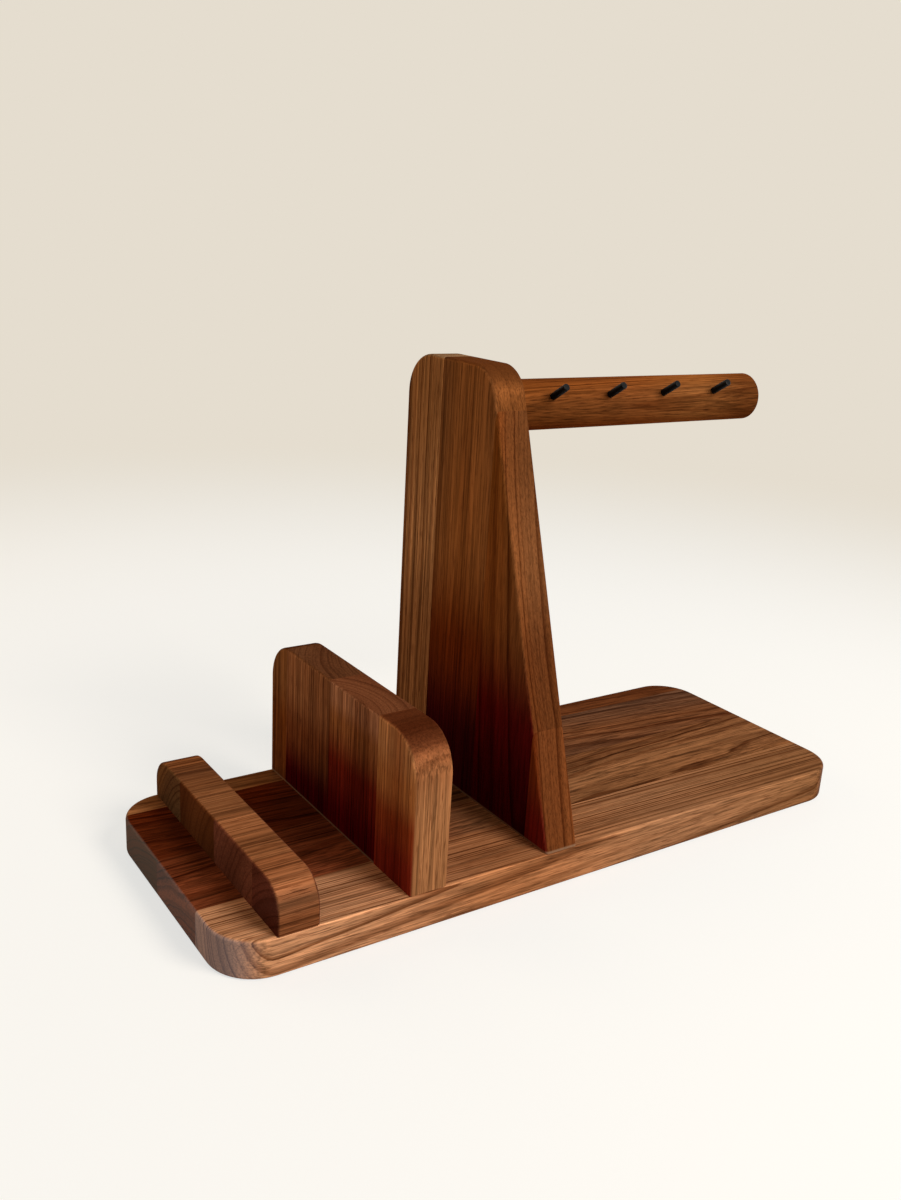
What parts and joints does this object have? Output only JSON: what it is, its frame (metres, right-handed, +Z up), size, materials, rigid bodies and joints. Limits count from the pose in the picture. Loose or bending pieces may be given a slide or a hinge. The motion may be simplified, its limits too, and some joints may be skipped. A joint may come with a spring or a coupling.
{
  "type": "entryway organizer",
  "caption": "Free-standing wooden entryway organizer: long base tray with a low rail, a divider and a tall tapering upright that holds out a hook bar with tilted pegs over the tray.",
  "frame": {"origin": "on the underside, at the middle of the base board", "axes": "+X along the base towards the hook bar's free end, +Y from the front to the back, +Z up"},
  "size_m": [0.4, 0.152, 0.2545],
  "materials": {
    "walnut_striped": "oiled walnut with straight light and dark stripes, satin",
    "walnut_plain": "oiled walnut, medium brown, satin",
    "walnut_red": "oiled walnut, dark reddish brown, satin",
    "walnut_light": "oiled walnut sapwood side, lighter tan, satin",
    "beech": "bare beech dowel",
    "black_steel": "black coated steel pin, satin",
    "zinc_steel": "zinc plated screw"
  },
  "bodies": {
    "root": {"base_stave_1": "walnut_striped", "base_stave_2": "walnut_plain", "base_stave_3": "walnut_red", "base_stave_4": "walnut_light", "rail_stave_1": "walnut_striped", "rail_stave_2": "walnut_plain", "rail_stave_3": "walnut_red", "rail_stave_4": "walnut_light", "divider_stave_1": "walnut_striped", "divider_stave_2": "walnut_plain", "divider_stave_3": "walnut_red", "divider_stave_4": "walnut_light", "upright_stave_1": "walnut_striped", "upright_stave_2": "walnut_plain", "upright_stave_3": "walnut_red", "upright_stave_4": "walnut_light", "hook_bar": "walnut_plain", "hook_peg_1": "black_steel", "hook_peg_2": "black_steel", "hook_peg_3": "black_steel", "hook_peg_4": "black_steel", "hook_bar_dowel_1": "beech", "hook_bar_dowel_2": "beech", "rail_screw_1": "zinc_steel", "rail_screw_2": "zinc_steel", "divider_screw_1": "zinc_steel", "divider_screw_2": "zinc_steel", "upright_screw_1": "zinc_steel", "upright_screw_2": "zinc_steel", "upright_screw_3": "zinc_steel"}
  },
  "joints": []
}
